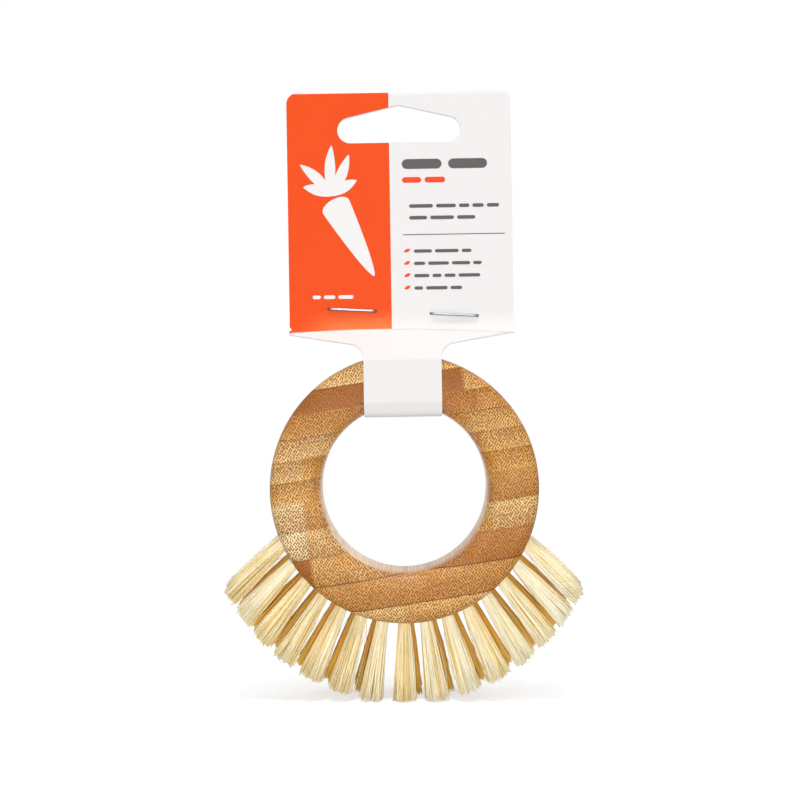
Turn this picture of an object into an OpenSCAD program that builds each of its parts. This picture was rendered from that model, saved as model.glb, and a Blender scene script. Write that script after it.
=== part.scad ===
// Vegetable brush with a ring handle: a laminated bamboo ring, three rows of
// fibre tufts anchored in blind holes round its lower rim, and a folded hang
// card whose strap loops round the top of the ring and is closed by staples.
// The ring lies in the XZ plane and the brush stands on its lowest tufts at z = 0.

/* [Ring handle] */
// Outside diameter of the ring
ring_d = 88.4; // [84:0.2:92]
// Diameter of the finger hole
bore_d = 55; // [51:0.5:58]
// Thickness of the ring from front to back
ring_t = 22; // [21:0.5:25]
// Rounding of the two outer edges
outer_edge = 4; // [2:0.5:4.5]
// Rounding of the two edges of the finger hole
inner_edge = 5; // [2:0.5:6]

/* [Tuft rows] */
// Tufts in each row
tufts = 15; // [11:2:15]
// Angle from straight down to the last hole of the front row, in degrees
row_end = 65.3; // [60:0.1:68]
// Distance between two rows of holes
row_pitch = 6.2; // [5.8:0.1:6.6]
// Share of its angle by which the last tuft of a row leans back down
end_lean = 0.265; // [0.1:0.005:0.3]
// Angle by which the holes behind the front row lie further out, in degrees
row_shift = 1.2; // [0:0.1:2]
// Outward lean of the front and rear rows, in degrees
row_lean = 6; // [4:0.5:8]

/* [Tuft holes and anchors] */
// Diameter of a tuft hole
hole_d = 4.5; // [4.2:0.1:4.8]
// Depth of a tuft hole, along its axis
hole_depth = 9.5; // [8:0.5:11]
// Width of the flat anchor wire
anchor_w = 1.6; // [1.2:0.1:2]
// Thickness of the flat anchor wire
anchor_t = 0.35; // [0.25:0.05:0.5]
// Depth to which each end of an anchor bites into the bamboo
anchor_bite = 0.2; // [0.1:0.05:0.3]
// Height of the folded fibres between an anchor and the bottom of its hole
anchor_lift = 1.2; // [0.8:0.1:2]

/* [Bristles] */
// Free length of the middle tufts before the flat trim
bristle_l = 25.3; // [22:0.1:28]
// Distance of the trimmed arc's centre below the centre of the ring
trim_drop = 5.9; // [4:0.1:8]
// Depth of the flat trim that the brush stands on
stand_flat = 0.5; // [0.3:0.1:1]
// Strands in the outer ring of a tuft
outer_strands = 8; // [6:1:8]
// Strands in the core of a tuft
inner_strands = 3; // [2:1:3]
// Radius of the core as a share of the outer ring's
core_share = 0.43; // [0.4:0.01:0.45]
// Width of a strand where it leaves its hole
strand_root = 0.75; // [0.6:0.05:0.8]
// Width of a strand at its tip
strand_tip = 1.25; // [0.9:0.05:1.4]
// Width of a tuft's tip along its row
tip_w = 7.8; // [6.5:0.1:8.2]
// Width of a tuft's tip across the rows
tip_d = 7.2; // [6:0.1:7.6]
// Gap between the packed fibres and the wall of their hole
pack_gap = 0.1; // [0.05:0.05:0.2]
// Depth below the rim at which the strands part
part_depth = 0.6; // [0.5:0.1:1.5]

/* [Hang card] */
// Width of the card's panels
card_w = 74.6; // [70:0.2:80]
// Height of the front panel
panel_h = 79.5; // [70:0.5:90]
// Height of the front panel's lower edge above the strap's upper fold
panel_lift = 0.9; // [0.7:0.1:2]
// Length of the tab that is tucked behind the front panel
tab_h = 13; // [11:0.5:20]
// Thickness of the card
board_t = 0.45; // [0.35:0.05:0.5]
// Distance between the middles of the front and back panels
panel_gap = 1.1; // [1.1:0.1:1.6]
// Radius of the panels' upper corners
card_corner = 3.4; // [1:0.1:6]
// Turn of the card about the centre of the ring, in degrees
card_set = -0.9; // [-5:0.1:5]

/* [Strap] */
// Width of the strap
strap_w = 25.4; // [20:0.1:30]
// Clearance between the strap and the ring
strap_fit = 0.35; // [0.3:0.05:0.5]
// Bend radius where the strap turns under the ring
strap_bend = 3; // [3:0.1:5]
// Bend radius of the strap's folds above and below the ring's faces
fold_bend = 1.2; // [0.8:0.1:2]
// Rise of the strap towards the panels, in degrees from level
strap_rise = 36; // [30:0.5:40]
// Fall of the strap under its lower folds, in degrees from level
strap_dip = 70; // [60:1:80]
// Radius that blends the strap into the shoulders
shoulder_r = 5; // [3:0.5:7]
// Slope of the shoulders, in degrees
shoulder_slope = 9.3; // [6:0.1:12]

/* [Hang hole] */
// Distance from the top fold to the hole's flat lower edge
slot_drop = 16.8; // [14:0.1:22]
// Overall width of the hang hole
slot_w = 41; // [36:0.5:46]
// Height of the hole's rounded ends
slot_h = 8.7; // [7:0.1:10]
// Rise of the hole's middle peak above its ends
slot_peak = 3.8; // [2:0.1:4.5]

/* [Staples] */
// Diameter of the staple wire
wire_d = 0.9; // [0.6:0.05:1]
// Length of a staple's crown
crown_l = 16; // [13:0.5:18]
// Inside bend radius of a staple
wire_bend = 0.5; // [0.3:0.1:0.5]
// Length of each clinched leg behind the card
clinch_l = 5; // [3:0.5:5.5]
// Clearance round a staple's leg in the card
pierce_fit = 0.2; // [0.2:0.05:0.3]
// Distance of the left staple from the middle of the card
left_staple_x = 16.4; // [12:0.1:25]
// Height of the left staple above the front panel's lower edge
left_staple_z = 7.2; // [4:0.1:9]
// Distance of the right staple from the middle of the card
right_staple_x = 17.5; // [12:0.1:25]
// Height of the right staple above the front panel's lower edge
right_staple_z = 5.2; // [4:0.1:9]
// Slant of both staples, in degrees
staple_slant = 3.5; // [0:0.5:6]

/* [Hidden] */
$fn = 96;
ROWS = ["front", "middle", "rear"];

bamboo = "burlywood";
fibre = "cornsilk";
wire = "silver";
board = "ghostwhite";

hair = 0.02;
ring_r = ring_d / 2;
bore_r = bore_d / 2;
half_t = ring_t / 2;

// The tips are trimmed to an arc, whose lowest point sets the height of the ring
trim_r = ring_r + bristle_l - trim_drop;
ring_z = trim_r + trim_drop - stand_flat;

// The fibres are packed in a prism with as many sides as it has outer strands
pack_r = hole_d / 2 - pack_gap;
strand_ring = pack_r - strand_root / 2 * (1 + tan(180 / outer_strands)) - hair;
strand_sink = 1;

// Middle lines of the card's panels and of the strap's legs
panel_y = panel_gap / 2;
leg_y = half_t + strap_fit + board_t / 2;
// The strap is straight across, so its edges set how close it comes to the round hole
strap_z = sqrt(bore_r * bore_r - strap_w * strap_w / 4) - strap_fit - board_t / 2;
// The sloping strap clears the ring's rounded edge by the strap's clearance
edge_reach = outer_edge + strap_fit + board_t / 2;
knee_z = ring_r - outer_edge + edge_reach * (1 - sin(strap_rise)) / cos(strap_rise);
tab_fold_z = knee_z + leg_y * tan(strap_rise);
back_fold_z = knee_z + (leg_y - panel_y) * tan(strap_rise);
// Its lower folds clear the rounded edge of the finger hole in the same way
bore_reach = inner_edge + strap_fit + board_t / 2;
dip_z = strap_z + bore_reach * (1 - (1 - sin(strap_dip)) / cos(strap_dip));
dip_y = leg_y - (dip_z - strap_z) / tan(strap_dip);
under_bend = min(strap_bend, bore_reach);
card_low = tab_fold_z + panel_lift;
card_top = card_low + panel_h;
bend_steps = 6;

// Middle line of a staple's wire, in front of the card and behind it
wire_y = panel_y + board_t / 2 + wire_d / 2;
wire_r = wire_bend + wire_d / 2;
leg_x = (crown_l - wire_d) / 2;

function two_digits(n) = str(n < 10 ? "0" : "", n);
function tuft_name(row, i) = str("tuft_", ROWS[row], "_", two_digits(i + 1));
function anchors_name(row) = str("anchors_", ROWS[row]);

// Angle from straight down to hole i of a row, and the angle at which its tuft points
function even_angle(i) = row_end * (2 * i / (tufts - 1) - 1);
function hole_angle(row, i) =
    even_angle(i) + (row == 0 ? 0 : 2 * i < tufts - 1 ? -row_shift : row_shift);
function tuft_angle(row, i) =
    hole_angle(row, i) * (1 - end_lean * abs(hole_angle(row, i)) / row_end);
function lean(row) = (row - 1) * row_lean;

// Centre of a hole's mouth, measured from the centre of the ring
function mouth(row, i) = [
    ring_r * sin(hole_angle(row, i)),
    (row - 1) * row_pitch,
    -ring_r * cos(hole_angle(row, i))
];

// Directions of a tuft: outwards, along its row and across the rows
function tuft_out(row, i) = [
    sin(tuft_angle(row, i)) * cos(lean(row)),
    sin(lean(row)),
    -cos(tuft_angle(row, i)) * cos(lean(row))
];
function tuft_along(row, i) = [-cos(tuft_angle(row, i)), 0, -sin(tuft_angle(row, i))];
function tuft_across(row, i) = cross(tuft_out(row, i), tuft_along(row, i));

// Puts a child that points up its own Z axis into hole i of a row
module at_hole(row, i) {
    translate(mouth(row, i)) rotate([-lean(row), 180 - tuft_angle(row, i), 0]) children();
}

// Section of the ring, with its inner edges at x = 0
module ring_section() {
    w = ring_r - bore_r;
    translate([inner_edge, 0]) square([w - inner_edge - outer_edge, ring_t]);
    translate([0, inner_edge]) square([w / 2, ring_t - 2 * inner_edge]);
    translate([w / 2, outer_edge]) square([w / 2, ring_t - 2 * outer_edge]);
    for (y = [inner_edge, ring_t - inner_edge]) translate([inner_edge, y]) circle(inner_edge);
    for (y = [outer_edge, ring_t - outer_edge]) translate([w - outer_edge, y]) circle(outer_edge);
}

// Ring of bamboo board with its blind tuft holes
module ring_handle() {
    color(bamboo) translate([0, 0, ring_z]) difference() {
        rotate([90, 0, 0]) rotate_extrude() translate([bore_r, -half_t]) ring_section();
        for (row = [0:2], i = [0:tufts - 1]) at_hole(row, i)
            translate([0, 0, -hole_depth]) cylinder(d = hole_d, h = 2 * hole_depth);
    }
}

// Distances from point p, along direction d, to the trimmed arc and to the flat trim
function to_arc(p, d) =
    let (
        q = [p[0], p[2] + trim_drop],
        e = [d[0], d[2]],
        b = (q * e) / (e * e),
        c = (q * q - trim_r * trim_r) / (e * e)
    )
    -b + sqrt(b * b - c);
function to_flat(p, d) = d[2] < 0 ? (-ring_z - p[2]) / d[2] : to_arc(p, d);
function to_trim(p, d) = min(to_arc(p, d), to_flat(p, d));

// Corner c of strand s, along and across its tuft: the core's strands come first
function corner_of(s, c, reach, w) =
    let (
        core = s < inner_strands,
        a = core ? 360 * s / inner_strands : 360 * (s - inner_strands) / outer_strands,
        far = core ? core_share * reach : reach
    )
    [far[0] * cos(a), far[1] * sin(a)] + turned([[-1, -1], [1, -1], [1, 1], [-1, 1]][c] * w / 2, a);

// Point of tuft i at the offsets k along and across it, and at height h above its mouth
function tuft_point(row, i, k, h) =
    mouth(row, i) + k[0] * tuft_along(row, i) + k[1] * tuft_across(row, i) + h * tuft_out(row, i);

// Strand s of a tuft: it widens and spreads from the hole to the trimmed tip
module strand(row, i, s) {
    root_reach = [strand_ring, strand_ring];
    tip_reach = [tip_w - strand_tip, tip_d - strand_tip] / 2;
    full = to_arc(mouth(row, i), tuft_out(row, i));
    roots = [for (c = [0:3])
        tuft_point(row, i, corner_of(s, c, root_reach, strand_root), -part_depth)];
    ends = [for (c = [0:3]) tuft_point(row, i, corner_of(s, c, tip_reach, strand_tip), full)];
    ways = [for (c = [0:3]) unit(ends[c] - roots[c])];
    sunk = [for (c = [0:3]) roots[c] - strand_sink * ways[c]];
    tips = [for (c = [0:3]) roots[c] + to_trim(roots[c], ways[c]) * ways[c]];
    polyhedron(
        points = concat(sunk, tips),
        faces = [
            [0, 1, 2], [0, 2, 3], [4, 6, 5], [4, 7, 6],
            [0, 5, 1], [0, 4, 5], [1, 6, 2], [1, 5, 6],
            [2, 7, 3], [2, 6, 7], [3, 4, 0], [3, 7, 4]
        ]
    );
}

// Flat wire of length l across a hole, above the folded end of its tuft
module anchor(l) {
    translate([-l / 2, -anchor_t / 2, anchor_lift - hole_depth]) cube([l, anchor_t, anchor_w]);
}

// A tuft: fibres packed in the hole and folded round their anchor, and the free strands
module tuft(row, i) {
    color(fibre) translate([0, 0, ring_z]) {
        at_hole(row, i) difference() {
            translate([0, 0, -hole_depth])
                cylinder(r = pack_r, h = hole_depth - part_depth, $fn = outer_strands);
            anchor(hole_d);
        }
        for (s = [0:inner_strands + outer_strands - 1]) strand(row, i, s);
    }
}

// The flat wires that pin one row of tufts
module anchors(row) {
    color(wire) translate([0, 0, ring_z]) for (i = [0:tufts - 1]) at_hole(row, i)
        anchor(hole_d + 2 * anchor_bite);
}

function unit(v) = v / norm(v);
function left_of(v) = [-v[1], v[0]];
function turned(v, a) = [v[0] * cos(a) - v[1] * sin(a), v[0] * sin(a) + v[1] * cos(a)];
function reversed(p) = [for (i = [len(p) - 1:-1:0]) p[i]];

// Points at distance h to the left of a bend of radius r, from a by way of b to c
function bend_side(a, b, c, r, h) =
    let (
        u = unit(b - a),
        v = unit(c - b),
        way = sign(u[0] * v[1] - u[1] * v[0]),
        angle = acos(u * v),
        centre = b - r * tan(angle / 2) * u + way * r * left_of(u)
    )
    [for (k = [0:bend_steps])
        centre + (r - way * h) * turned(-way * left_of(u), way * angle * k / bend_steps)];

// One side of a bent strip whose middle line runs through the points p
function strip_side(p, radii, h) =
    let (last = len(p) - 1)
    [for (i = [0:last])
        each i == 0 ? [p[0] + h * left_of(unit(p[1] - p[0]))]
            : i == last ? [p[last] + h * left_of(unit(p[last] - p[last - 1]))]
            : bend_side(p[i - 1], p[i], p[i + 1], radii[i], h)];

// Side view of the whole card, from the front panel's lower edge to the tucked tab
module card_strip() {
    middle = [
        [-panel_y, card_low],
        [-panel_y, card_top - board_t / 2],
        [panel_y, card_top - board_t / 2],
        [panel_y, back_fold_z],
        [leg_y, knee_z],
        [leg_y, dip_z],
        [dip_y, strap_z],
        [-dip_y, strap_z],
        [-leg_y, dip_z],
        [-leg_y, knee_z],
        [0, tab_fold_z],
        [0, tab_fold_z + tab_h]
    ];
    radii = [
        0, panel_y, panel_y, fold_bend, fold_bend, fold_bend,
        under_bend, under_bend, fold_bend, fold_bend, fold_bend, 0
    ];
    polygon(concat(
        strip_side(middle, radii, board_t / 2),
        reversed(strip_side(middle, radii, -board_t / 2))
    ));
}

// Hang hole: a slot with round ends and a low peak, which touches the ends smoothly
module hang_hole() {
    end_r = slot_h / 2;
    end_x = slot_w / 2 - end_r;
    peak_z = end_r + slot_peak;
    slope = acos(end_r / norm([peak_z, end_x])) - atan2(end_x, peak_z);
    touch = [end_x + end_r * sin(slope), end_r * cos(slope)];
    translate([0, card_top - slot_drop + end_r]) {
        translate([-end_x, -end_r]) square([2 * end_x, slot_h]);
        for (side = [-1, 1]) translate([side * end_x, 0]) circle(end_r);
        polygon([[-end_x, 0], [end_x, 0], touch, [0, peak_z], [-touch[0], touch[1]]]);
    }
}

// Half of the shoulders and strap, on the right of the card's middle
module card_shoulder() {
    strap_x = strap_w / 2;
    corner_z = tab_fold_z - (card_w / 2 - strap_x) * tan(shoulder_slope);
    blend = shoulder_r * tan((90 - shoulder_slope) / 2);
    difference() {
        polygon([
            [0, strap_z - board_t],
            [strap_x, strap_z - board_t],
            [strap_x, corner_z - blend],
            [strap_x + blend * cos(shoulder_slope), corner_z + blend * sin(shoulder_slope)],
            [card_w / 2, tab_fold_z],
            [0, tab_fold_z]
        ]);
        translate([strap_x + shoulder_r, corner_z - blend]) circle(shoulder_r);
    }
}

// Front view of the card: panel with rounded upper corners, shoulders and strap
module card_outline() {
    corner_x = card_w / 2 - card_corner;
    corner_z = card_top - card_corner;
    difference() {
        union() {
            translate([-card_w / 2, tab_fold_z]) square([card_w, corner_z - tab_fold_z]);
            translate([-corner_x, tab_fold_z]) square([2 * corner_x, card_top - tab_fold_z]);
            for (side = [-1, 1]) translate([side * corner_x, corner_z]) circle(card_corner);
            card_shoulder();
            mirror([1, 0]) card_shoulder();
        }
        hang_hole();
    }
}

// Places a staple, or the holes that it pierces, on the card
module at_staple(x, z) {
    translate([x, 0, card_low + z]) rotate([0, staple_slant, 0]) children();
}

module pierced_holes() {
    for (side = [-1, 1]) translate([side * leg_x, 0, 0])
        rotate([90, 0, 0]) cylinder(d = wire_d + 2 * pierce_fit, h = 4 * wire_y, center = true);
}

// Carries the card and its staples, turned about the centre of the ring
module on_card() {
    translate([0, 0, ring_z]) rotate([0, card_set, 0]) children();
}

// One printed card, folded over at the top and looped through the ring
module hang_card() {
    color(board) on_card() difference() {
        intersection() {
            rotate([90, 0, 90]) linear_extrude(card_w, center = true) card_strip();
            rotate([90, 0, 0]) linear_extrude(4 * leg_y, center = true) card_outline();
        }
        at_staple(-left_staple_x, left_staple_z) pierced_holes();
        at_staple(right_staple_x, right_staple_z) pierced_holes();
    }
}

// Half of a staple: half its crown, a leg through the card and the clinched end
module staple_half() {
    straight = leg_x - wire_r;
    translate([0, -wire_y, 0]) rotate([0, 90, 0]) cylinder(d = wire_d, h = straight);
    translate([straight, wire_r - wire_y, 0]) rotate([0, 0, -90])
        rotate_extrude(angle = 90) translate([wire_r, 0]) circle(d = wire_d);
    translate([leg_x, wire_y - wire_r, 0]) rotate([90, 0, 0])
        cylinder(d = wire_d, h = 2 * (wire_y - wire_r));
    translate([straight, wire_y - wire_r, 0])
        rotate_extrude(angle = 90) translate([wire_r, 0]) circle(d = wire_d);
    translate([straight - clinch_l, wire_y, 0]) rotate([0, 90, 0]) cylinder(d = wire_d, h = clinch_l);
}

module staple() {
    color(wire) {
        staple_half();
        mirror([1, 0, 0]) staple_half();
    }
}

module staple_left() {
    on_card() at_staple(-left_staple_x, left_staple_z) staple();
}

module staple_right() {
    on_card() at_staple(right_staple_x, right_staple_z) staple();
}

ring_handle();
for (row = [0:2], i = [0:tufts - 1])
    tuft(row, i);
for (row = [0:2])
    anchors(row);
hang_card();
staple_left();
staple_right();
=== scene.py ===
import bmesh
import bpy
import numpy as np
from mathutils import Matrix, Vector


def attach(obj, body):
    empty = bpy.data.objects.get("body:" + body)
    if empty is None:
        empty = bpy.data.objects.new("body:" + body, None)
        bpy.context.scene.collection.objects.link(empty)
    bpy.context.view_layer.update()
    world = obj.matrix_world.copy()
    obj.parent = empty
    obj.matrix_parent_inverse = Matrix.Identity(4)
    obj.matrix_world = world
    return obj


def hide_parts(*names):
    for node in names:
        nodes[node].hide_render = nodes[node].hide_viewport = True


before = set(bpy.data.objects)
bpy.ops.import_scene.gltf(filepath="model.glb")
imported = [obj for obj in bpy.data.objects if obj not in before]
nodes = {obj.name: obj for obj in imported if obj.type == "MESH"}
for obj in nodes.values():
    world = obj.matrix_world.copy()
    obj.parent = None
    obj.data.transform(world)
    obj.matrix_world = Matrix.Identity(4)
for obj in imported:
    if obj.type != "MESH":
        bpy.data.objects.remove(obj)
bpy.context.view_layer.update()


# Camera. It stands level in front of the ring, and the frame is shifted so that the lens's
# axis meets the picture above its middle, as in the photograph. Lengths are in millimetres,
# times mm where Blender takes metres, and angles are in degrees.
mm = 0.001
picture_w = 800
axis_px = (400, 353)
ring_px = (404.35, 486.5)
px_per_mm = 3.0
camera_distance = 454 * mm
sensor_w = 36
ring_z = 69 * mm

lens = bpy.data.cameras.new("camera")
lens.sensor_width = sensor_w
lens.lens = camera_distance / mm * px_per_mm / picture_w * sensor_w
lens.shift_y = (axis_px[1] - picture_w / 2) / picture_w
lens.clip_start = 10 * mm
camera = bpy.data.objects.new("camera", lens)
camera.location = (
    (axis_px[0] - ring_px[0]) / px_per_mm * mm,
    -camera_distance,
    ring_z + (ring_px[1] - axis_px[1]) / px_per_mm * mm,
)
camera.rotation_euler = (np.pi / 2, 0, 0)
bpy.context.scene.collection.objects.link(camera)
bpy.context.scene.camera = camera


# Ring handle. The real one is turned from a board of bamboo strips glued side by side,
# whose cut ends show as rows of dark bundles on the front, and is dipped in clear lacquer.
ring_r = 44.2
bore_r = 27.5
strip_tilt = 8.9
tones = {
    "pale": "#FFEBB8",
    "cream": "#F8DBA3",
    "straw": "#F2CC8C",
    "honey": "#EBBC76",
    "gold": "#E8B56A",
    "tan": "#DCA562",
    "brown": "#C98D50",
    "russet": "#B37543",
}
bundle_brown = "#945008"
glue_brown = "#4E2408"
# Brown of the dense side of a strip, also used as painted shade on the outer rim
dense_and_rim_shade_brown = "#8A5424"
# Painted shade and sheen round the bore
shade_amber = "#F6E9AC"
# Painted reflection on the bore's wall
wall_reflection_beige = "#FFE6C4"
bundle_pitch = 0.95
bundle_edge = (0.29, 0.53)
cell_stretch = 1.35
# Moves the cell pattern of each row by an amount of its own, so that no two rows match
row_offset = (97, 41, 0)
patch_w = 5
grain_w = 0.385
glow_w = 9
pore_depth = 0.04
board_half = 46
seams = (-33.8, 0, 25.4)
seam_play = 8
# Height of each row's upper edge, how far its seams are shifted, and its tone in the four
# lengths between the seams
rows = [
    (46, 0.2, "straw", "straw", "honey", "honey"),
    (36.5, -1, "tan", "russet", "russet", "honey"),
    (29, 2.6, "tan", "tan", "brown", "tan"),
    (22, -2, "straw", "straw", "gold", "honey"),
    (15, 1.9, "straw", "gold", "tan", "honey"),
    (8.1, 3, "honey", "gold", "tan", "gold"),
    (0.9, 0.6, "cream", "gold", "gold", "tan"),
    (-8.6, -0.4, "pale", "straw", "straw", "straw"),
    (-17.9, -0.1, "russet", "honey", "brown", "brown"),
    (-27.4, -3, "tan", "tan", "tan", "tan"),
    (-37.1, -6.2, "straw", "straw", "honey", "straw"),
]


def linear(code):
    """Linear colour of an sRGB hex code: the standard curve, undone for each channel."""
    c = np.array([int(code[i:i + 2], 16) for i in (1, 3, 5)]) / 255
    c = np.where(c > 0.04045, ((c + 0.055) / 1.055) ** 2.4, c / 12.92)
    return (*c.tolist(), 1.0)


def add(tree, kind, inputs=None, stops=None, **settings):
    """Adds a node, makes its settings, fills its ramp and gives its inputs values or links."""
    node = tree.nodes.new("ShaderNode" + kind)
    for name, value in settings.items():
        setattr(node, name, value)
    if stops:
        ramp = node.color_ramp
        while len(ramp.elements) < len(stops):
            ramp.elements.new(1)
        for element, (place, colour) in zip(ramp.elements, stops):
            element.position = place
            element.color = colour
    for name, value in (inputs or {}).items():
        if isinstance(value, bpy.types.Node):
            value = value.outputs[0]
        if isinstance(value, bpy.types.NodeSocket):
            tree.links.new(value, node.inputs[name])
        else:
            node.inputs[name].default_value = value
    return node


def grey(value):
    """Grey ramp colour of a plain value."""
    return (value, value, value, 1)


def new_material(name):
    """Empty material and its node tree."""
    material = bpy.data.materials.new(name)
    material.use_nodes = True
    material.node_tree.nodes.clear()
    return material, material.node_tree


def row_stops(values):
    """Ramp stops that hold one colour over each row's height, from the lowest row up."""
    lower = [row[0] for row in rows[1:]] + [-board_half]
    return [((low + board_half) / (2 * board_half), value)
            for low, value in reversed(list(zip(lower, values)))]


def depth_stops():
    """Ramp stops from 0 at the dense side of each strip to 1 at its open side: the strips
    above the board's middle lie with their dense side up, the others with it down."""
    edges = [row[0] for row in rows] + [-board_half]
    stops, inset = [], 0.0002
    for low, high in reversed(list(zip(edges[1:], edges[:-1]))):
        low_end, high_end = (1, 0) if low + high > 0 else (0, 1)
        stops.append(((low + board_half) / (2 * board_half) + inset, grey(low_end)))
        stops.append(((high + board_half) / (2 * board_half) - inset, grey(high_end)))
    return stops


def lacquered_bamboo():
    """Laminated bamboo end grain under satin lacquer: warm strips, dark bundles, a soft gloss, with
    painted shade at the rim and round the bore and a painted reflection on the bore's wall.
    """
    material, tree = new_material("lacquered_bamboo_end_grain")
    place = add(tree, "TexCoord").outputs["Object"]
    board = add(tree, "Mapping", {
        "Vector": place,
        "Location": (0, 0, ring_z),
        "Rotation": (np.pi / 2, -np.radians(strip_tilt), 0),
        "Scale": (mm, mm, mm),
    }, vector_type="TEXTURE")
    axes = add(tree, "SeparateXYZ", {0: board})
    height = add(tree, "MapRange", {
        "Value": axes.outputs["Y"], "From Min": -board_half, "From Max": board_half})
    depth = add(tree, "ValToRGB", {0: height}, stops=depth_stops())
    shift = add(tree, "ValToRGB", {0: height}, stops=row_stops(
        [grey(0.5 + row[1] / (2 * seam_play)) for row in rows]))
    shift.color_ramp.interpolation = "CONSTANT"
    along = add(tree, "MapRange", {
        "Value": shift, "To Min": seam_play, "To Max": -seam_play})
    along = add(tree, "Math", {0: axes.outputs["X"], 1: along})

    # Each strip keeps its tone up to a seam, where the next length of bamboo begins
    ground = grey(0)
    for column, seam in enumerate((-2 * board_half, *seams)):
        strip = add(tree, "ValToRGB", {0: height}, stops=row_stops(
            [linear(tones[row[2 + column]]) for row in rows]))
        strip.color_ramp.interpolation = "CONSTANT"
        past = add(tree, "MapRange", {
            "Value": along, "From Min": seam - 0.5, "From Max": seam + 0.5})
        ground = add(tree, "MixRGB", {"Fac": past, "Color1": ground, "Color2": strip})

    # The wood is darker towards the dense side, which lay under the skin of the culm
    shade = add(tree, "MapRange", {"Value": depth, "To Min": 0.3, "To Max": 0})
    ground = add(tree, "MixRGB", {
        "Fac": shade, "Color1": ground, "Color2": linear(dense_and_rim_shade_brown)})
    patches = add(tree, "TexNoise", {"Vector": board, "Scale": 1 / patch_w, "Detail": 3})
    grain = add(tree, "TexNoise", {"Vector": board, "Scale": 1 / grain_w, "Detail": 2},
                noise_dimensions="2D")
    light = add(tree, "MapRange", {
        "Value": patches, "From Min": 0.3, "From Max": 0.7, "To Min": 0.86, "To Max": 1.12})
    fine = add(tree, "MapRange", {
        "Value": grain, "From Min": 0.25, "From Max": 0.75, "To Min": 0.93, "To Max": 1.07})
    light = add(tree, "Math", {0: light, 1: fine}, operation="MULTIPLY")
    ground = add(tree, "HueSaturation", {"Value": light, "Color": ground})

    # Bundles of fibres run from front to back, so a cell pattern across them has no depth.
    # Its square grid is turned to stagger the dots, and stretched to make them upright.
    shifted = add(tree, "VectorMath", {0: shift, 1: row_offset, 2: board},
                  operation="MULTIPLY_ADD")
    stagger = add(tree, "Mapping", {
        "Vector": shifted, "Rotation": (0, 0, np.pi / 4), "Scale": (cell_stretch, 1, 1)})
    cells = add(tree, "TexVoronoi", {
        "Vector": stagger, "Scale": 1 / bundle_pitch, "Randomness": 0.45},
        voronoi_dimensions="2D")
    spread = add(tree, "Math", {0: depth, 1: 0.08, 2: cells}, operation="MULTIPLY_ADD")
    bundle = add(tree, "MapRange", {
        "Value": spread, "From Min": bundle_edge[0], "From Max": bundle_edge[1],
        "To Min": 1, "To Max": 0}, interpolation_type="SMOOTHSTEP")
    weight = add(tree, "MapRange", {
        "Value": cells.outputs["Color"], "From Min": 0.1, "From Max": 0.8,
        "To Min": 0.85, "To Max": 1})
    bundle = add(tree, "Math", {0: bundle, 1: weight}, operation="MULTIPLY")

    # Towards the bore the surface turns along the grain, where it shows smooth, its bundles faded
    across = add(tree, "VectorMath", {0: board, 1: (1, 1, 0)}, operation="MULTIPLY")
    radius = add(tree, "VectorMath", {0: across}, operation="LENGTH").outputs["Value"]
    turned = add(tree, "MapRange", {
        "Value": radius, "From Min": bore_r, "From Max": bore_r + 0.5, "To Min": 0.3,
        "To Max": 1}, interpolation_type="SMOOTHSTEP")
    bundle = add(tree, "Math", {0: bundle, 1: turned}, operation="MULTIPLY")
    # The band round the bore is painted darker and more golden in noisy patches: painted shade and
    # painted sheen where the surface turns toward the hole
    bore_shade = add(tree, "MapRange", {
        "Value": radius, "From Min": bore_r + 1.5, "From Max": bore_r + 6.5, "To Min": 1.1,
        "To Max": 0}, interpolation_type="SMOOTHSTEP")
    golden = add(tree, "TexNoise", {"Vector": board, "Scale": 1 / glow_w, "Detail": 1})
    golden = add(tree, "MapRange", {"Value": golden, "From Min": 0.42, "From Max": 0.62})
    bore_shade = add(tree, "Math", {0: bore_shade, 1: golden}, operation="MULTIPLY", use_clamp=True)
    ground = add(tree, "MixRGB", {
        "Fac": bore_shade, "Color1": ground, "Color2": linear(shade_amber)}, blend_type="MULTIPLY")

    # The bore's wall is painted pale towards the back, a painted reflection of the bright
    # surroundings at a grazing angle, and the outer rim is painted darker, as painted shade, and
    # hides its bundles
    deep = add(tree, "MapRange", {
        "Value": axes.outputs["Z"], "From Min": -1, "From Max": 6.5, "To Min": 0.9,
        "To Max": 0.1})
    wall = add(tree, "MapRange", {
        "Value": radius, "From Min": bore_r, "From Max": bore_r + 0.7, "To Min": deep,
        "To Max": 0}, interpolation_type="SMOOTHSTEP")
    ground = add(tree, "MixRGB", {
        "Fac": wall, "Color1": ground, "Color2": linear(wall_reflection_beige)})
    rim = add(tree, "MapRange", {
        "Value": radius, "From Min": ring_r - 1, "From Max": ring_r - 0.3, "To Min": 0,
        "To Max": 0.4})
    ground = add(tree, "MixRGB", {
        "Fac": rim, "Color1": ground, "Color2": linear(dense_and_rim_shade_brown)})
    faded = add(tree, "Math", {0: rim, 1: -1.4, 2: 1}, operation="MULTIPLY_ADD")
    bundle = add(tree, "Math", {0: bundle, 1: faded}, operation="MULTIPLY")

    # A dark line of glue shows on the dense side of each strip and fades on its open side
    edge = add(tree, "Math", {0: depth, 1: 0.5}, operation="SUBTRACT")
    edge = add(tree, "Math", {0: edge}, operation="ABSOLUTE")
    line = add(tree, "MapRange", {"Value": edge, "From Min": 0.45, "From Max": 0.48})
    seen = add(tree, "MapRange", {"Value": depth, "To Min": 0.8, "To Max": 0.1})
    line = add(tree, "Math", {0: line, 1: seen}, operation="MULTIPLY")
    line = add(tree, "Math", {0: line, 1: turned}, operation="MULTIPLY")
    colour = add(tree, "MixRGB", {
        "Fac": bundle, "Color1": ground, "Color2": linear(bundle_brown)})
    colour = add(tree, "MixRGB", {
        "Fac": line, "Color1": colour, "Color2": linear(glue_brown)})

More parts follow.
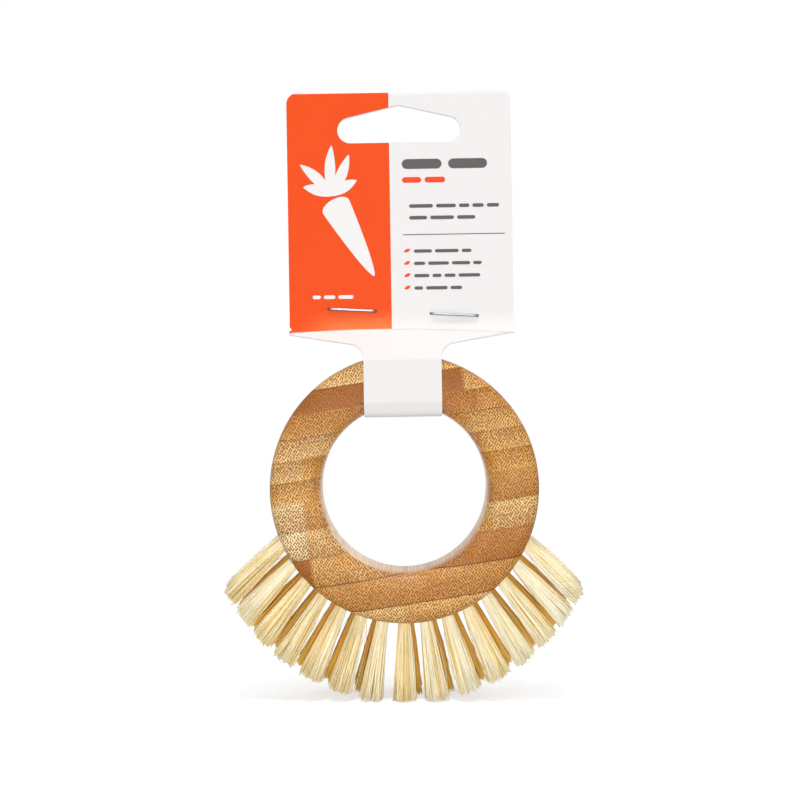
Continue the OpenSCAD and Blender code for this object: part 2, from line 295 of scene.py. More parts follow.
    pores = add(tree, "Math", {0: bundle, 1: -0.6, 2: grain}, operation="MULTIPLY_ADD")
    bump = add(tree, "Bump", {"Height": pores, "Strength": 0.2, "Distance": pore_depth * mm})
    gloss = add(tree, "MapRange", {"Value": grain, "To Min": 0.42, "To Max": 0.56})
    lacquer = add(tree, "MapRange", {
        "Value": radius, "From Min": bore_r + 1.5, "From Max": bore_r + 5.5, "To Min": 0.9,
        "To Max": 0.05}, interpolation_type="SMOOTHSTEP")
    surface = add(tree, "BsdfPrincipled", {
        "Base Color": colour,
        "Roughness": gloss,
        "Normal": bump,
        "Specular IOR Level": 0.1,
        "Coat Weight": lacquer,
        "Coat Roughness": 0.45,
    })
    add(tree, "OutputMaterial", {"Surface": surface})
    return material


def paint(node, material):
    """Gives a CAD node one material in place of its own."""
    nodes[node].data.materials.clear()
    nodes[node].data.materials.append(material)


paint("ring_handle", lacquered_bamboo())


# Tufts. Each is a bundle of stiff cream fibres, recycled plastic mixed with plant fibre,
# folded round an anchor in its hole; the free ends spread and are trimmed to an arc.
tufts = 15
row_end = 65.3
row_shift = 1.2
row_pitch = 6.2
row_lean = 6
end_lean = 0.265
bristle_l = 25.3
trim_drop = 4.6
trim_r = ring_r + bristle_l - trim_drop
# A fibre that leans down less than this never meets the flat that the brush stands on
least_down = 0.05
hole_r = 2.25
hole_play = 0.1
rest_depth = 6.5
# Half the width of a tuft's tip along its row and across it, for each row
tip_half = ((4.3, 3.6), (4.8, 3.6), (4.8, 3.6))
# Share of that width which the tufts at the ends of each row keep on their outer side
end_share = ((0.3,), (0.25, 0.6), (0.25, 0.6))
# How many fibres the real tuft has isn't known; these are as coarse as they need to be to show
fibres = 190
fibre_w = (0.27, 0.45)
fibre_bow = 0.25
fleck_w = 1.25
stray_share = 0.04
stray_w = 0.17
stray_spread = 1.2
stray_bow = 4
clumps = 9
clump_pull = 0.2
tip_scatter = 0.22
ragged = 0.38
fibre_relief = 0.02
# Most fibres are pale and a few golden, and part of each tone is its whole clump's
tone_curve = (1.1, 2.6)
clump_tone = 0.35
fibre_tones = ((0, "#FFFAE5"), (0.3, "#FFF4D3"), (0.5, "#FCE5A6"), (1, "#CCA036"))
# Painted shade for the fibres inside the tufts: amber, lighter towards the tips, for light blocked
# between the rows and glowing through the fibres
painted_shade_tones = ((0, "#FFBC36"), (0.5, "#FFC644"), (1, "#FFD260"))
row_names = ("front", "middle", "rear")
bow_steps = np.array([0, 0.35, 0.7, 1])
golden_angle = np.pi * (3 - np.sqrt(5))
rng = np.random.default_rng(11)


def hole_angle(row, i):
    """Angle from straight down to hole i of a row; the holes behind lie a little further out."""
    even = row_end * (2 * i / (tufts - 1) - 1)
    return even + (0 if row == 0 else -row_shift if 2 * i < tufts - 1 else row_shift)


def tuft_axes(row, i):
    """Mouth of a hole and the tuft's directions: outwards, along its row and across the rows."""
    at = np.radians(hole_angle(row, i))
    tilt = at * (1 - end_lean * abs(at) / np.radians(row_end))
    lean = np.radians((row - 1) * row_lean)
    mouth = np.array([ring_r * np.sin(at), (row - 1) * row_pitch, -ring_r * np.cos(at)])
    out = np.array([np.sin(tilt) * np.cos(lean), np.sin(lean), -np.cos(tilt) * np.cos(lean)])
    along = np.array([-np.cos(tilt), 0, -np.sin(tilt)])
    return mouth, out, along, np.cross(out, along)


def trim_length(start, way):
    """Length from start, along way, to the trimmed arc or to the flat that the brush stands on:
    the arc's is the root of a quadratic, the flat's is the height over the slope down."""
    heading = way[:, [0, 2]]
    place = start[:, [0, 2]] + (0, trim_drop)
    size = (heading * heading).sum(1)
    back = (place * heading).sum(1) / size
    arc = -back + np.sqrt(back * back - ((place * place).sum(1) - trim_r ** 2) / size)
    down = -way[:, 2]
    flat = (ring_z / mm + start[:, 2]) / np.maximum(down, least_down)
    flat = np.where(down > least_down, flat, arc)
    return arc, np.minimum(arc, flat)


def fibre_paths(row, i):
    """Middle lines of a tuft's fibres: straight in the hole, then spreading and bowed to the
    tip, with the tips drawn together in clumps and a few thin strays that bow far out."""
    mouth, out, along, across = tuft_axes(row, i)
    basis = np.stack([along, across])
    k = np.arange(fibres)
    far = np.sqrt((k + 0.5) / fibres)
    turn = k * golden_angle
    disc = np.stack([far * np.cos(turn), far * np.sin(turn)], 1)
    stray = rng.random(fibres) < stray_share
    width = np.where(stray, stray_w, rng.uniform(*fibre_w, fibres))
    root = mouth + disc * (hole_r - hole_play - width[:, None] / 2) @ basis
    leaders = disc[rng.choice(fibres, clumps, replace=False)]
    clump = np.argmin(((disc[:, None] - leaders) ** 2).sum(2), 1)
    tip_disc = disc + clump_pull * (leaders[clump] - disc)
    tip_disc = np.where(stray[:, None], stray_spread * disc, tip_disc) * tip_half[row]
    from_end = min(i, tufts - 1 - i)
    side = 1 if 2 * i < tufts - 1 else -1
    if from_end < len(end_share[row]):
        tip_disc[:, 0] *= np.where(side * tip_disc[:, 0] > 0, end_share[row][from_end], 1)
    tip_disc += rng.normal(0, tip_scatter, (fibres, 2))
    way = mouth + out * (bristle_l + 1) + tip_disc @ basis - root
    way /= np.linalg.norm(way, axis=1)[:, None]
    arc, trimmed = trim_length(root, way)
    length = trimmed + np.minimum(rng.exponential(ragged, fibres) - 2 * ragged,
                                  np.where(trimmed < arc, 0, 2 * ragged))
    bow = rng.normal(0, fibre_bow, (fibres, 2)) * np.where(stray, stray_bow, 1)[:, None] @ basis
    path = root[:, None] + (way * length[:, None])[:, None] * bow_steps[:, None]
    path += bow[:, None] * (4 * bow_steps * (1 - bow_steps))[:, None]
    sunk = root - out * rest_depth
    path = np.concatenate([sunk[:, None], path], 1)

    # Fibres on the tuft's outer side stay pale, and the others are painted amber: painted shade
    # between the rows, with the glow of light passing through the fibres
    outward = disc[:, 1] * (row - 1) if row != 1 else np.full(fibres, -1.0)
    if from_end == 0:
        outward = np.maximum(outward, 2 * side * disc[:, 0])
    own = (1 - clump_tone) * rng.beta(*tone_curve, fibres)
    shade = own + clump_tone * rng.random(clumps)[clump]
    return path, width, basis, outward, shade


def tubes(paths, width, basis, sides=5):
    """Points and faces of closed tubes round the paths: a ring of sides at each point of a path."""
    n, rings = paths.shape[:2]
    angle = 2 * np.pi * np.arange(sides) / sides + rng.uniform(0, np.pi, (n, 1))
    spoke = np.cos(angle)[..., None] * basis[0] + np.sin(angle)[..., None] * basis[1]
    points = paths[:, :, None] + (spoke * width[:, None, None] / 2)[:, None]
    first = (np.arange(n) * rings * sides)[:, None, None]
    ring = (np.arange(rings - 1) * sides)[None, :, None]
    side = np.arange(sides)[None, None]
    after = (side + 1) % sides
    walls = np.stack([first + ring + side, first + ring + after,
                      first + ring + sides + after, first + ring + sides + side], -1)
    caps = np.stack([first[:, 0] + side[0, :, ::-1], first[:, 0] + (rings - 1) * sides + side[0]], 1)
    return points.reshape(-1, 3), walls.reshape(-1, 4), caps.reshape(-1, sides)


def new_piece(name, points, faces, materials, body):
    """Links a mesh of the points, in millimetres, and faces to a body and a material slot."""
    mesh = bpy.data.meshes.new(name)
    corners = np.concatenate([f.ravel() for f in faces])
    sizes = np.concatenate([np.full(len(f), f.shape[1]) for f in faces])
    mesh.vertices.add(len(points))
    mesh.vertices.foreach_set("co", (points * mm).astype(np.float32).ravel())
    mesh.loops.add(len(corners))
    mesh.loops.foreach_set("vertex_index", corners.astype(np.int32))
    mesh.polygons.add(len(sizes))
    mesh.polygons.foreach_set("loop_start", (np.cumsum(sizes) - sizes).astype(np.int32))
    mesh.update(calc_edges=True)
    mesh.shade_smooth()
    for material in materials:
        mesh.materials.append(material)
    piece = bpy.data.objects.new(name, mesh)
    bpy.context.scene.collection.objects.link(piece)
    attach(piece, body)
    return piece


def point_values(piece, name, values):
    """Stores one number for each point of a piece, for its material to read."""
    stored = piece.data.attributes.new(name, "FLOAT", "POINT")
    stored.data.foreach_set("value", values.astype(np.float32).ravel())


def cream_fibre():
    """Cut plastic and plant fibre: cream, some strands golden, and the fibres inside the tufts
    painted amber as painted shade.
    """
    material, tree = new_material("cream_plant_fibre")
    strand = add(tree, "Attribute", attribute_name="strand")
    inner = add(tree, "Attribute", attribute_name="inner")
    along = add(tree, "Attribute", attribute_name="along")
    colour = add(tree, "ValToRGB", {0: strand.outputs["Fac"]}, stops=[
        (place, linear(code)) for place, code in fibre_tones])
    deep = add(tree, "ValToRGB", {0: along.outputs["Fac"]}, stops=[
        (place, linear(code)) for place, code in painted_shade_tones])
    colour = add(tree, "MixRGB", {
        "Fac": inner.outputs["Fac"], "Color1": colour, "Color2": deep})
    place = add(tree, "TexCoord").outputs["Object"]
    flecks = add(tree, "TexNoise", {"Vector": place, "Scale": 1 / (fleck_w * mm), "Detail": 2})
    light = add(tree, "MapRange", {
        "Value": flecks, "From Min": 0.3, "From Max": 0.7, "To Min": 0.98, "To Max": 1.08})
    colour = add(tree, "HueSaturation", {"Value": light, "Color": colour})
    bump = add(tree, "Bump", {"Height": flecks, "Strength": 0.3, "Distance": fibre_relief * mm})
    gloss = add(tree, "MapRange", {"Value": flecks, "To Min": 0.38, "To Max": 0.55})
    surface = add(tree, "BsdfPrincipled", {
        "Base Color": colour,
        "Roughness": gloss,
        "Normal": bump,
        "Specular IOR Level": 0.25,
    })
    add(tree, "OutputMaterial", {"Surface": surface})
    return material


fibre = cream_fibre()
steps = np.concatenate([[0], bow_steps])
for row, row_name in enumerate(row_names):
    for i in range(tufts):
        paths, width, basis, outward, shade = fibre_paths(row, i)
        points, walls, caps = tubes(paths, width, basis)
        points[:, 2] = np.maximum(points[:, 2] + ring_z / mm, 0)
        tuft = new_piece(f"fibres_{row_name}_{i + 1:02d}", points, [walls, caps],
                         [fibre], "brush")
        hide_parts(f"tuft_{row_name}_{i + 1:02d}")
        per_fibre = len(points) // fibres
        point_values(tuft, "strand", np.repeat(shade, per_fibre))
        # How strongly each fibre is painted amber, as painted shade
        inner = np.clip((0.35 - outward) / 1.1, 0, 0.94)
        point_values(tuft, "inner", np.repeat(inner, per_fibre))
        point_values(tuft, "along", np.tile(np.repeat(steps, per_fibre // len(steps)), fibres))


# Anchors. Short flat steel wires, one across each hole, that pin the folded fibres to the
# bottom; their ends bite into the bamboo and nothing of them shows.
die_line_w = 0.5
die_line_depth = 0.02


def drawn_steel(name, colour, roughness):
    """Drawn steel wire: grey metal with faint lines left by the die."""
    material, tree = new_material(name)
    place = add(tree, "TexCoord").outputs["Object"]
    lines = add(tree, "TexNoise", {"Vector": place, "Scale": 1 / (die_line_w * mm), "Detail": 3})
    gloss = add(tree, "MapRange", {
        "Value": lines, "To Min": roughness - 0.08, "To Max": roughness + 0.12})
    bump = add(tree, "Bump", {"Height": lines, "Strength": 0.2, "Distance": die_line_depth * mm})
    surface = add(tree, "BsdfPrincipled", {
        "Base Color": linear(colour),
        "Metallic": 1,
        "Roughness": gloss,
        "Normal": bump,
    })
    add(tree, "OutputMaterial", {"Surface": surface})
    return material


flat_wire = drawn_steel("drawn_flat_wire", "#B9B9B5", 0.35)
for row_name in row_names:
    paint(f"anchors_{row_name}", flat_wire)


# Hang card. One sheet of white board printed on its outer side: the front panel is folded
# over at the top, and the strap loops round the ring and ends in a tab tucked behind it.
card_w = 74.6
panel_h = 79.5
panel_lift = 0.9
tab_h = 13
board_t = 0.45
panel_gap = 1.1
card_corner = 3.4
card_set = -0.9
shoulder_r = 5
shoulder_slope = 9.3
slot_drop = 16.8
slot_w = 41
slot_h = 8.7
slot_peak = 3.8
# The strap, seen from the side: it leaves the folds at its rise, bends at the knees into two
# upright legs, and at the dip turns in to run through the ring's hole
strap_w = 25.4
strap_bend = 3
fold_bend = 1.2
strap_rise = 36
leg_y = 11.575
knee_z = 42.53
dip_z = 28.41
dip_y = 9.9
strap_z = 23.82
# The front panel's bowed foot, and the fold of the tab, which is lifted clear of it
fold_lift = 3
foot_h = 4.2
foot_rise = 0.6
foot_middle = -6
foot_curve = 0.00092
# The orange field, where its foot has a painted highlight and where its corner is worn
field_edge = -3.3
field_drop = 0.35
bow_h = 8
bow_x = -12
bow_reach = (6, 24)
wear_w = 0.625
wear_r = 1.8
mottle_w = 0.714
board_relief = 0.03
board_tones = ("#E9E6E4", "#EEEBE9")
ink_tones = ("#EF4A0E", "#F25315")
# Lighter orange of the painted highlight on the field's foot
foot_highlight_orange = "#FB8347"
# The grid of the sheet: the length of its steps, its columns a band and its points a bend
grid_step = 0.8
band_columns = 9
bend_points = 8
nearly = 0.01

panel_y = panel_gap / 2
top_bend = 0.98 * panel_y
tab_fold_z = knee_z + leg_y * np.tan(np.radians(strap_rise))
back_fold_z = knee_z + (leg_y - panel_y) * np.tan(np.radians(strap_rise))
card_low = tab_fold_z + panel_lift
card_top = card_low + panel_h
slot_r = slot_h / 2
slot_end = slot_w / 2 - slot_r
slot_z = card_top - slot_drop + slot_r
peak_z = slot_r + slot_peak
peak_slope = np.arccos(slot_r / np.hypot(peak_z, slot_end)) - np.arctan2(slot_end, peak_z)
touch = (slot_end + slot_r * np.sin(peak_slope), slot_r * np.cos(peak_slope))


def half_width(z):
    """Half the card's width at a height: panel with round corners, sloping shoulders, strap."""
    slope = np.radians(shoulder_slope)
    strap_x = strap_w / 2
    corner_z = tab_fold_z - (card_w / 2 - strap_x) * np.tan(slope)
    blend = shoulder_r * np.tan((np.pi / 2 - slope) / 2)
    top = np.clip(z - (card_top - card_corner), 0, card_corner)
    panel = card_w / 2 - card_corner + np.sqrt(card_corner ** 2 - top ** 2)
    line = card_w / 2 - (tab_fold_z - z) / np.tan(slope)
    low = np.clip(z - (corner_z - blend), 0, shoulder_r)
    arc = strap_x + shoulder_r - np.sqrt(shoulder_r ** 2 - low ** 2)
    on_line = z > corner_z + blend * np.sin(slope)
    return np.where(z >= tab_fold_z, panel, np.where(on_line, line, arc))


def slot_half(z):
    """Half the hang hole's width at a height above its middle: round ends under a low peak."""
    end = slot_end + np.sqrt(np.maximum(slot_r ** 2 - z ** 2, 0))
    roof = touch[0] * (peak_z - z) / (peak_z - touch[1])
    return np.where(z < touch[1], end, np.maximum(roof, 0))


def fine_heights():
    """Heights at which the panels' outlines are sampled: round the hang hole and the corners."""
    turn = np.linspace(-np.pi / 2, np.arcsin(touch[1] / slot_r), 19)
    ends = slot_z + slot_r * np.sin(turn)
    peak = slot_z + np.linspace(touch[1], peak_z, 8)
    corner = card_top - card_corner + card_corner * np.sin(np.linspace(0, np.pi / 2, 12))
    return np.concatenate([ends, peak, corner])


def card_side():
    """Side view of the sheet's middle: straight runs joined by arcs that round each fold. The
    runs along the two panels pass through the heights of the hang hole and the corners."""
    corners = np.array([
        [-panel_y, card_low],
        [-panel_y, card_top - board_t / 2],
        [panel_y, card_top - board_t / 2],
        [panel_y, back_fold_z],
        [leg_y, knee_z],
        [leg_y, dip_z],
        [dip_y, strap_z],
        [-dip_y, strap_z],
        [-leg_y, dip_z],
        [-leg_y, knee_z],
        [0, tab_fold_z + fold_lift],
        [0, tab_fold_z + tab_h],
    ])
    bends = [0, top_bend, top_bend, fold_bend, fold_bend, fold_bend,
             strap_bend, strap_bend, fold_bend, fold_bend, fold_bend, 0]
    line, start = [], corners[0]
    for k in range(1, len(corners)):
        here = corners[k]
        run = (here - corners[k - 1]) / np.linalg.norm(here - corners[k - 1])
        after = corners[min(k + 1, len(corners) - 1)] - here
        after = after / np.linalg.norm(after) if after.any() else run
        way = np.sign(run[0] * after[1] - run[1] * after[0])
        angle = np.arccos(np.clip(run @ after, -1, 1))
        end = here - bends[k] * np.tan(angle / 2) * run
        share = np.linspace(0, 1, 2 + int(np.linalg.norm(end - start) / grid_step))
        if k in (1, 3):
            marks = (fine_heights() - start[1]) / (end[1] - start[1])
            marks = marks[(marks > 0) & (marks < 1)]
            share = np.unique(np.round(np.concatenate([share, marks]), 4))
        line.append(start + (end - start) * share[:, None])
        left = np.array([-run[1], run[0]])
        spoke = -way * left
        turn = way * angle * np.linspace(0, 1, bend_points + 2)[1:-1]
        turned = np.stack([spoke[0] * np.cos(turn) - spoke[1] * np.sin(turn),
                           spoke[0] * np.sin(turn) + spoke[1] * np.cos(turn)], 1)
        if angle:
            line.append(end - bends[k] * spoke + bends[k] * turned)
        start = here + bends[k] * np.tan(angle / 2) * after
    return np.concatenate(line)


def on_card(x, y, z):
    """Points in the card's frame, turned with it about the centre of the ring."""
    a = np.radians(card_set)
    return np.stack(np.broadcast_arrays(
        x * np.cos(a) + z * np.sin(a), y, -x * np.sin(a) + z * np.cos(a) + ring_z / mm), -1)


def card_sheet():
    """Grid over the sheet: three bands of columns, of which the middle one ends at the hole."""
    side = card_side()
    y, z = side[:, :1], side[:, 1:]
    outer = half_width(z)
    level = z - slot_z
    below = level < nearly - slot_r
    hole = np.minimum(np.where(below, slot_end, slot_half(level)), outer * 0.9)
    band = np.linspace(0, 1, band_columns)
    left = -outer + (outer - hole) * band
    middle = hole * (2 * band - 1)
    right = hole + (outer - hole) * band
    index = np.arange(left.size).reshape(left.shape)
    quads = np.stack([index[:-1, :-1], index[:-1, 1:], index[1:, 1:], index[1:, :-1]], -1)
    whole = below[:-1, 0] & below[1:, 0]
    faces = np.concatenate([quads.reshape(-1, 4), quads[whole].reshape(-1, 4) + left.size,
                            quads.reshape(-1, 4) + 2 * left.size])
    x = np.concatenate([c.ravel() for c in (left, middle, right)])
    y = np.tile(np.repeat(y, band.size), 3)
    z = np.tile(np.repeat(z, band.size), 3)

    # The foot of the front panel is bowed and rests on the strap's slope, which pushes it out
    foot = np.clip(1 - (z - card_low) / foot_h, 0, 1) ** 2 * (np.abs(y + panel_y) < nearly)
    drop = foot_curve * (x - foot_middle) ** 2 - foot_rise
    slope = (tab_fold_z + fold_lift - knee_z) / leg_y
    push = (fold_lift - panel_lift + drop) / slope + board_t - panel_y
    y = y - foot * push
    z = z - foot * drop
    on_panels = np.arange(len(side)) < np.argmax(side[:, 0] > panel_y + nearly)
    printed = np.tile(np.repeat(on_panels, band.size), 3)
    return on_card(x, y, z), faces, printed


def board(name, printed):
    """White paperboard: a little mottled, matt, with faint fibres; ink where it is printed, with a
    painted highlight on its bowed foot.
    """
    material, tree = new_material(name)
    place = add(tree, "TexCoord").outputs["Object"]
    sheet = add(tree, "Mapping", {
        "Vector": place,
        "Location": (0, 0, ring_z),
        "Rotation": (np.pi / 2, np.radians(card_set), 0),
        "Scale": (mm, mm, mm),
    }, vector_type="TEXTURE")
    mottle = add(tree, "TexNoise", {"Vector": sheet, "Scale": 1 / mottle_w, "Detail": 4})
    colour = add(tree, "MixRGB", {
        "Fac": mottle, "Color1": linear(board_tones[0]), "Color2": linear(board_tones[1])})
    if printed:
        axes = add(tree, "SeparateXYZ", {0: sheet})
        left = add(tree, "Math", {0: axes.outputs["X"], 1: field_edge}, operation="LESS_THAN")
        panel = add(tree, "Math", {0: axes.outputs["Y"], 1: card_low - field_drop},
                    operation="GREATER_THAN")
        ink = add(tree, "Math", {0: left, 1: panel}, operation="MULTIPLY")
        outer = add(tree, "Attribute", attribute_name="printed")
        ink = add(tree, "Math", {0: ink, 1: outer.outputs["Fac"]}, operation="MULTIPLY")

        # The ink is worn off the field's lower left corner
        worn = add(tree, "TexNoise", {"Vector": sheet, "Scale": 1 / wear_w, "Detail": 3})
        corner = add(tree, "VectorMath", {0: sheet, 1: (-card_w / 2, card_low + 1, 1.6)},
                     operation="DISTANCE").outputs["Value"]
        corner = add(tree, "Math", {0: worn, 1: 2, 2: corner}, operation="MULTIPLY_ADD")
        whole = add(tree, "Math", {0: corner, 1: wear_r}, operation="GREATER_THAN")
        ink = add(tree, "Math", {0: ink, 1: whole}, operation="MULTIPLY")
        orange = add(tree, "MixRGB", {
            "Fac": mottle, "Color1": linear(ink_tones[0]), "Color2": linear(ink_tones[1])})

        # Painted highlight: the ink is painted lighter where the bowed foot of the panel tips up to
        # the light
        low = add(tree, "MapRange", {
            "Value": axes.outputs["Y"], "From Min": card_low + 1, "From Max": card_low + bow_h,
            "To Min": 0.8, "To Max": 0}, interpolation_type="SMOOTHSTEP")
        aside = add(tree, "Math", {0: axes.outputs["X"], 1: bow_x}, operation="SUBTRACT")
        aside = add(tree, "Math", {0: aside}, operation="ABSOLUTE")
        bowed = add(tree, "MapRange", {
            "Value": aside, "From Min": bow_reach[0], "From Max": bow_reach[1],
            "To Min": low, "To Max": 0}, interpolation_type="SMOOTHSTEP")
        orange = add(tree, "MixRGB", {
            "Fac": bowed, "Color1": orange, "Color2": linear(foot_highlight_orange)})
        colour = add(tree, "MixRGB", {"Fac": ink, "Color1": colour, "Color2": orange})
    bump = add(tree, "Bump", {"Height": mottle, "Strength": 0.15, "Distance": board_relief * mm})
    gloss = add(tree, "MapRange", {"Value": mottle, "To Min": 0.5, "To Max": 0.65})
    surface = add(tree, "BsdfPrincipled", {
        "Base Color": colour,
        "Roughness": gloss,
        "Normal": bump,
        "Specular IOR Level": 0.15,
    })
    add(tree, "OutputMaterial", {"Surface": surface})
    return material


points, quads, printed = card_sheet()
card = new_piece("printed_card", points, [quads],
                 [board("printed_white_board", True), board("uncoated_white_board", False)],
                 "card")
point_values(card, "printed", printed)
shape = bmesh.new()
shape.from_mesh(card.data)
bmesh.ops.remove_doubles(shape, verts=shape.verts, dist=0.1 * nearly * mm)
bmesh.ops.dissolve_degenerate(shape, edges=shape.edges, dist=0.1 * nearly * mm)
for edge in shape.edges:
    edge.smooth = not edge.is_boundary
shape.to_mesh(card.data)
shape.free()
thickness = card.modifiers.new("thickness", "SOLIDIFY")
thickness.thickness = board_t * mm
thickness.offset = 0
thickness.material_offset = 1
thickness.material_offset_rim = 1
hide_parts("hang_card")


# Print. Offset ink on the front panel, put on before the card is folded: a white carrot on
# the orange field, and on the white field grey and orange bars and leaf-shaped bullets.
ink_lift = 0.03
layer_lift = 0.002
ink_y = -panel_y - board_t / 2 - ink_lift
bullets = (26.5, 22.4, 18.3, 14.2)
white_ink = "#EEEBE9"
grey_ink = "#5E5A59"
orange_ink = "#F2481C"


def ribbon(middle, width):
    """Flat shape: its sides lie half a width to either side of its middle line."""
    way = np.gradient(middle, axis=0)
    way /= np.linalg.norm(way, axis=1)[:, None]
    left = np.stack([-way[:, 1], way[:, 0]], 1) * width[:, None] / 2
    sides = np.stack([middle + left, middle - left], 1).reshape(-1, 2)
    i = np.arange(0, 2 * len(middle) - 2, 2)
    return sides, np.stack([i + 1, i + 3, i + 2, i], 1)


def bar(x, z, length, height):
    """Bar from x to the right at height z: its ends are half circles."""
    t = (1 - np.cos(np.linspace(0, np.pi, 25))) / 2
    px = x + length * t
    end = np.minimum(np.minimum(px - x, x + length - px), height / 2)
    width = 2 * np.sqrt(np.maximum((height / 2) ** 2 - (height / 2 - end) ** 2, 0))
    return ribbon(np.stack([px, np.full_like(px, z)], 1), width)


def leaf(x, z, turn, length, width, curl):
    """Pointed leaf on a curved rib: its width is a sine over its length."""
    t = np.linspace(0, 1, 25)
    a = np.radians(turn) + np.radians(curl) * t
    step = length / (len(t) - 1) * np.stack([np.cos(a), np.sin(a)], 1)
    middle = np.array([x, z]) + np.cumsum(step, 0) - step
    return ribbon(middle, width * np.sin(np.pi * t) ** 0.8)


def root_shape(x, z, turn, length, width):
    """Carrot: its width is a quarter ellipse over the shoulder, then a root of what is left."""
    t = (1 - np.cos(np.linspace(0, np.pi, 33))) / 2
    a = np.radians(turn)
    middle = np.array([x, z]) + length * t[:, None] * (np.cos(a), np.sin(a))
    near_top = np.minimum(t / 0.1, 1)
    shoulder = np.sqrt(1 - (1 - near_top) ** 2)
    return ribbon(middle, width * shoulder * (1 - t) ** 0.62)


def words(x, z, total, height, gap, shortest, longest):
    """Row of bars of uneven lengths, as long as a line of print."""
    shapes, here = [], x
    while here < x + total - shortest:
        length = min(rng.uniform(shortest, longest), x + total - here)
        shapes.append(bar(here, z, length, height))
        here += length + gap
    return shapes


def flat_shapes(name, material, shapes):
    """Flat shapes of one material on the front panel, each a hair in front of the last."""
    points = np.concatenate([sides for sides, quads in shapes])
    first = np.cumsum([0] + [len(sides) for sides, quads in shapes])
    faces = np.concatenate([quads + start for (sides, quads), start in zip(shapes, first)])
    layer = np.repeat(np.arange(len(shapes)), [len(sides) for sides, quads in shapes])
    places = on_card(points[:, 0], ink_y - layer_lift * layer, points[:, 1] + card_low)
    return new_piece(name, places, [faces], [material], "card")


def mottled(name, colour):
    """Offset ink on uncoated paper, or painted shade in the staple holes: a matt colour with a
    slight mottle.
    """
    material, tree = new_material(name)
    place = add(tree, "TexCoord").outputs["Object"]
    mottle = add(tree, "TexNoise", {"Vector": place, "Scale": 1 / (mottle_w * mm), "Detail": 3})
    light = add(tree, "MapRange", {"Value": mottle, "To Min": 0.96, "To Max": 1.04})
    tint = add(tree, "HueSaturation", {"Value": light, "Color": linear(colour)})
    gloss = add(tree, "MapRange", {"Value": mottle, "To Min": 0.45, "To Max": 0.6})
    surface = add(tree, "BsdfPrincipled", {
        "Base Color": tint, "Roughness": gloss, "Specular IOR Level": 0.2})
    add(tree, "OutputMaterial", {"Surface": surface})
    return material


white_shapes = [leaf(-22.7, 45.2, turn, size, 3.6, curl) for turn, size, curl in (
    (40, 10, -18), (150, 10, 25), (62, 15, 10), (124, 15, 22), (96, 17, -14))]
white_shapes += [root_shape(-22.5, 44, -62, 29, 10.5)]
white_shapes += words(-29.5, 11.6, 17, 1.2, 1, 2.5, 6)
flat_shapes("print_white", mottled("offset_ink_white", white_ink), white_shapes)
grey_shapes = words(0.8, 55.5, 34, 3.3, 2.2, 9, 15)
grey_shapes += words(3, 41.5, 30, 1.2, 1, 2.5, 8)
grey_shapes += words(3, 37.6, 22, 1.2, 1, 2.5, 8)
grey_shapes.append(bar(0.8, 32, 34, 0.3))
for height in bullets:
    grey_shapes += words(4.4, height, rng.uniform(18, 29), 1.1, 1, 2.5, 8)
flat_shapes("print_grey", mottled("offset_ink_grey", grey_ink), grey_shapes)
orange_shapes = words(0.8, 50.2, 18, 1.9, 1.1, 5, 9)
orange_shapes += [leaf(1, height - 0.2, 15, 2.4, 1.1, 20) for height in bullets]
flat_shapes("print_orange", mottled("offset_ink_orange", orange_ink), orange_shapes)


# Staples. Two wire staples close the card: the crowns lie on the front panel, the legs go
# through all three layers and are clinched behind. Galvanised steel, bright and a little dull.
leg_x = 7.7
staple_slant = 3.5
pierced_w = 1.1
# Each crown's middle on the panel, and the colour of the painted shade in the holes that its legs
# pierce
staples = {
    "staple_left": (-16.4, 7.2, "#7C2A16"),
    "staple_right": (17.5, 5.2, "#7A7775"),
}
staple_wire = drawn_steel("galvanised_round_wire", "#8E9295", 0.32)
drop = leg_x * np.tan(np.radians(staple_slant))
for node, (x, z, hole_shade) in staples.items():
    paint(node, staple_wire)
    # Dark discs round each leg: painted shade in the pierced holes
    flat_shapes("pierced_" + node, mottled("painted_hole_shade_" + node, hole_shade), [
        bar(x + side * leg_x - pierced_w / 2, z - side * drop, pierced_w, pierced_w)
        for side in (-1, 1)])


# Studio. A white sweep and soft lamps in front, above and behind; the floor shows white to
# the camera except under the brush, where it keeps a soft contact shadow. In metres.
floor_half = 3
floor_z = -0.0001
floor_grey = "#D3D6DA"
floor_lift = 0.63
white_from = (0.1, 0.25)
sky_level = 0.42
aim = (0, 0, 0.09)
# Place, side and power of each square lamp
lamps = {
    "key": ((-0.35, -1.0, 0.95), 0.8, 1.1),
    "front": ((0.0, -1.1, 0.11), 0.25, 5.9),
    "top": ((0.0, -0.2, 1.2), 0.2, 4.6),
    "back": ((0.55, 1.0, 0.7), 0.6, 3.0),
}


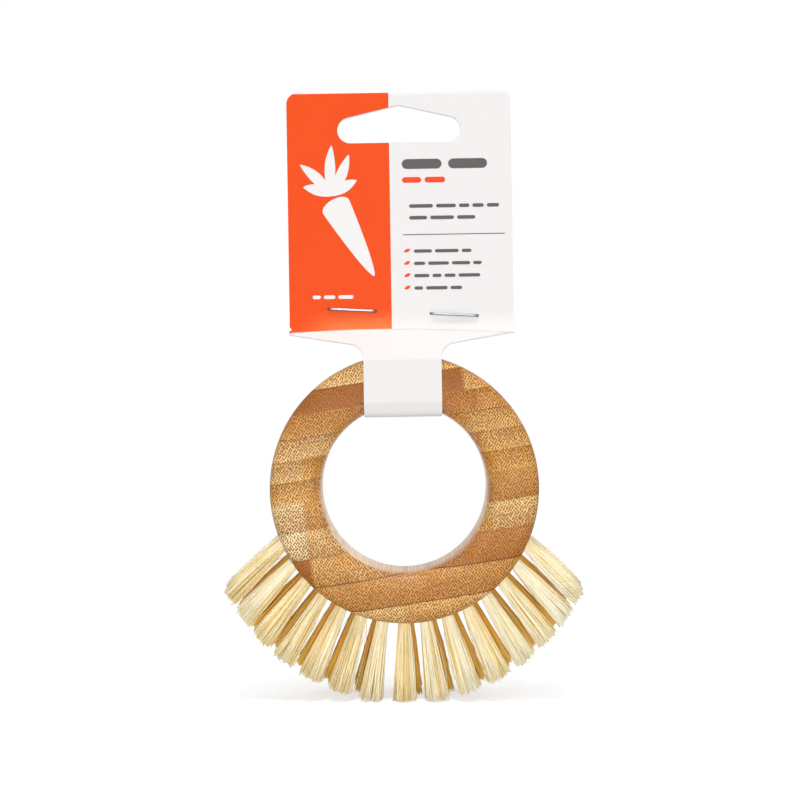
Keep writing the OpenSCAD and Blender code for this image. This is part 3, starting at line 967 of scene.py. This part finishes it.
def seen_rays(tree):
    """1 for rays from the camera, also by way of a gloss or a clear piece, and 0 for others."""
    rays = add(tree, "LightPath").outputs
    seen = add(tree, "Math", {0: rays["Is Camera Ray"], 1: rays["Is Glossy Ray"]},
               operation="MAXIMUM")
    return add(tree, "Math", {0: seen, 1: rays["Is Transmission Ray"]}, operation="MAXIMUM")


floor_mesh = bpy.data.meshes.new("floor")
floor_mesh.from_pydata([(x * floor_half, y * floor_half, floor_z)
                        for x, y in ((-1, -1), (1, -1), (1, 1), (-1, 1))], [], [(0, 1, 2, 3)])
floor = bpy.data.objects.new("floor", floor_mesh)
bpy.context.scene.collection.objects.link(floor)
sweep, tree = new_material("white_studio_floor")
seen = seen_rays(tree)
matt = add(tree, "BsdfDiffuse", {"Color": linear(floor_grey)})
lift = add(tree, "Math", {0: seen, 1: floor_lift}, operation="MULTIPLY")
glow = add(tree, "Emission", {"Color": grey(1), "Strength": lift})
near = add(tree, "AddShader", {0: matt, 1: glow})
place = add(tree, "TexCoord").outputs["Object"]
reach = add(tree, "VectorMath", {0: place}, operation="LENGTH").outputs["Value"]
away = add(tree, "MapRange", {
    "Value": reach, "From Min": white_from[0], "From Max": white_from[1]},
    interpolation_type="SMOOTHSTEP")
away = add(tree, "Math", {0: away, 1: seen}, operation="MULTIPLY")
white = add(tree, "Emission", {"Color": grey(1), "Strength": 1})
surface = add(tree, "MixShader", {0: away, 1: near, 2: white})
add(tree, "OutputMaterial", {"Surface": surface})
floor_mesh.materials.append(sweep)

world = bpy.data.worlds.new("studio")
world.use_nodes = True
world.node_tree.nodes.clear()
tree = world.node_tree
level = add(tree, "MapRange", {"Value": seen_rays(tree), "To Min": sky_level, "To Max": 1})
sky = add(tree, "Background", {"Color": grey(1), "Strength": level})
add(tree, "OutputWorld", {"Surface": sky})
bpy.context.scene.world = world

for name, (place, size, power) in lamps.items():
    light = bpy.data.lights.new(name, "AREA")
    light.shape = "SQUARE"
    light.size = size
    light.energy = power
    lamp = bpy.data.objects.new(name, light)
    lamp.location = place
    lamp.rotation_euler = (Vector(aim) - Vector(place)).to_track_quat("-Z", "Y").to_euler()
    bpy.context.scene.collection.objects.link(lamp)

bpy.context.scene.view_settings.view_transform = "Standard"
